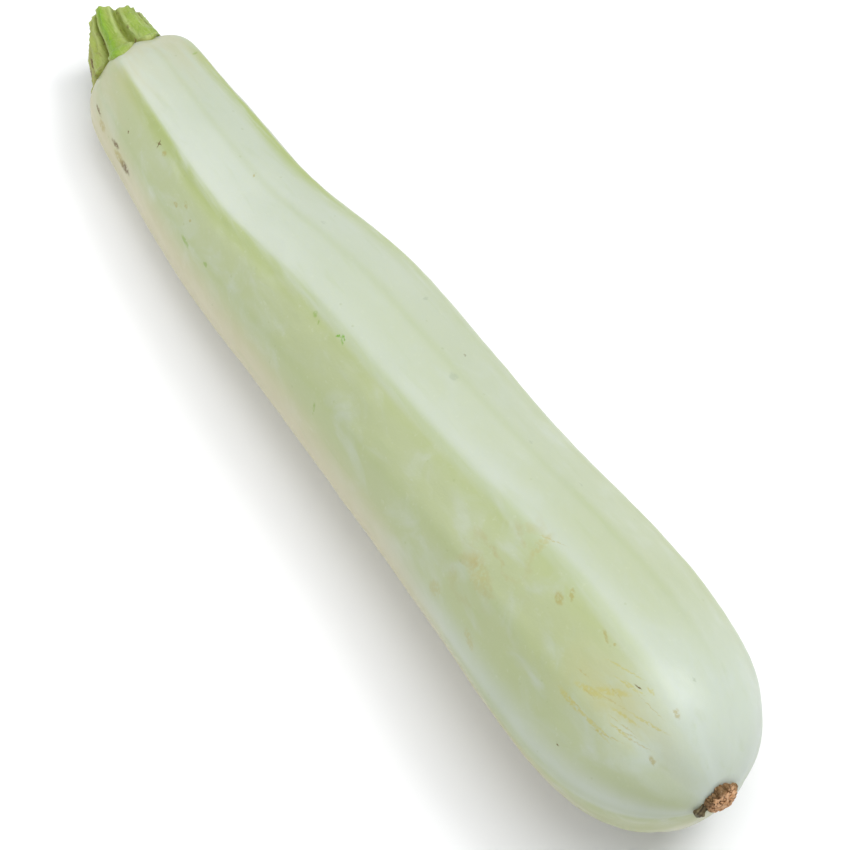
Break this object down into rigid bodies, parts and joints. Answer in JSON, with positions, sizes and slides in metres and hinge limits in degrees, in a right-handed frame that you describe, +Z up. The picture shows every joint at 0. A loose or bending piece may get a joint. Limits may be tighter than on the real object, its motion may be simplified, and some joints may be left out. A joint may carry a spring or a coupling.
{
  "type": "long squash",
  "caption": "Long pale green summer squash, club-shaped and softly ridged, with a cut stem stub and a dried blossom scar, lying on its side.",
  "frame": {"origin": "middle of the underside of the bounding box, on the surface that the squash lies on", "axes": "+X along the fruit from the cut stem to the blossom end, +Z up from the surface, +Y to the side"},
  "size_m": [0.3124, 0.0634, 0.0621],
  "materials": {
    "skin": "waxy pale green skin with a soft sheen, cream underneath, greener along the ridges",
    "stem": "ribbed fresh green stem flesh with fine fibres, olive in the grooves",
    "scar": "dry corky brown crust with dark edges",
    "petal": "shrivelled dark olive petal stub, matt"
  },
  "bodies": {
    "root": {"fruit": "skin", "stem": "stem", "blossom_scar": "scar", "petal_base": "petal"}
  },
  "joints": []
}
